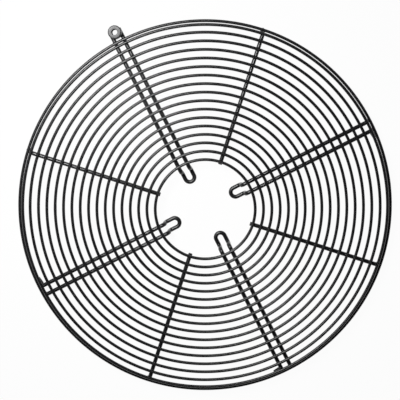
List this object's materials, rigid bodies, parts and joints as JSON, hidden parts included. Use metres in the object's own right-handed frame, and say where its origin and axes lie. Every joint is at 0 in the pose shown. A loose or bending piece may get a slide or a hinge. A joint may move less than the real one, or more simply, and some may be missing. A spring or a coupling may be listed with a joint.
{
  "type": "fan guard",
  "caption": "Round welded wire guard for an axial fan, with double supports that end in bolt loops at the centre and a mounting eye outside the rim.",
  "frame": {"origin": "on the guard's axis, in the plane that the feet of the supports seat on round the rim", "axes": "+Z along the axis of the guard, towards the side with the rings; +Y towards the mounting eye"},
  "size_m": [0.4518, 0.4694, 0.0258],
  "materials": {
    "black_powder_coat": "semi-gloss black powder coat over steel wire, slightly orange-peeled"
  },
  "bodies": {
    "root": {"rim_ring": "black_powder_coat", "edge_ring": "black_powder_coat", "grille_ring_01": "black_powder_coat", "grille_ring_02": "black_powder_coat", "grille_ring_03": "black_powder_coat", "grille_ring_04": "black_powder_coat", "grille_ring_05": "black_powder_coat", "grille_ring_06": "black_powder_coat", "grille_ring_07": "black_powder_coat", "grille_ring_08": "black_powder_coat", "grille_ring_09": "black_powder_coat", "grille_ring_10": "black_powder_coat", "grille_ring_11": "black_powder_coat", "grille_ring_12": "black_powder_coat", "grille_ring_13": "black_powder_coat", "grille_ring_14": "black_powder_coat", "grille_ring_15": "black_powder_coat", "grille_ring_16": "black_powder_coat", "upper_hairpin": "black_powder_coat", "right_hairpin": "black_powder_coat", "lower_hairpin": "black_powder_coat", "left_hairpin": "black_powder_coat", "upper_right_spoke": "black_powder_coat", "lower_right_spoke": "black_powder_coat", "lower_left_spoke": "black_powder_coat", "upper_left_spoke": "black_powder_coat", "mounting_eye": "black_powder_coat"}
  },
  "joints": []
}
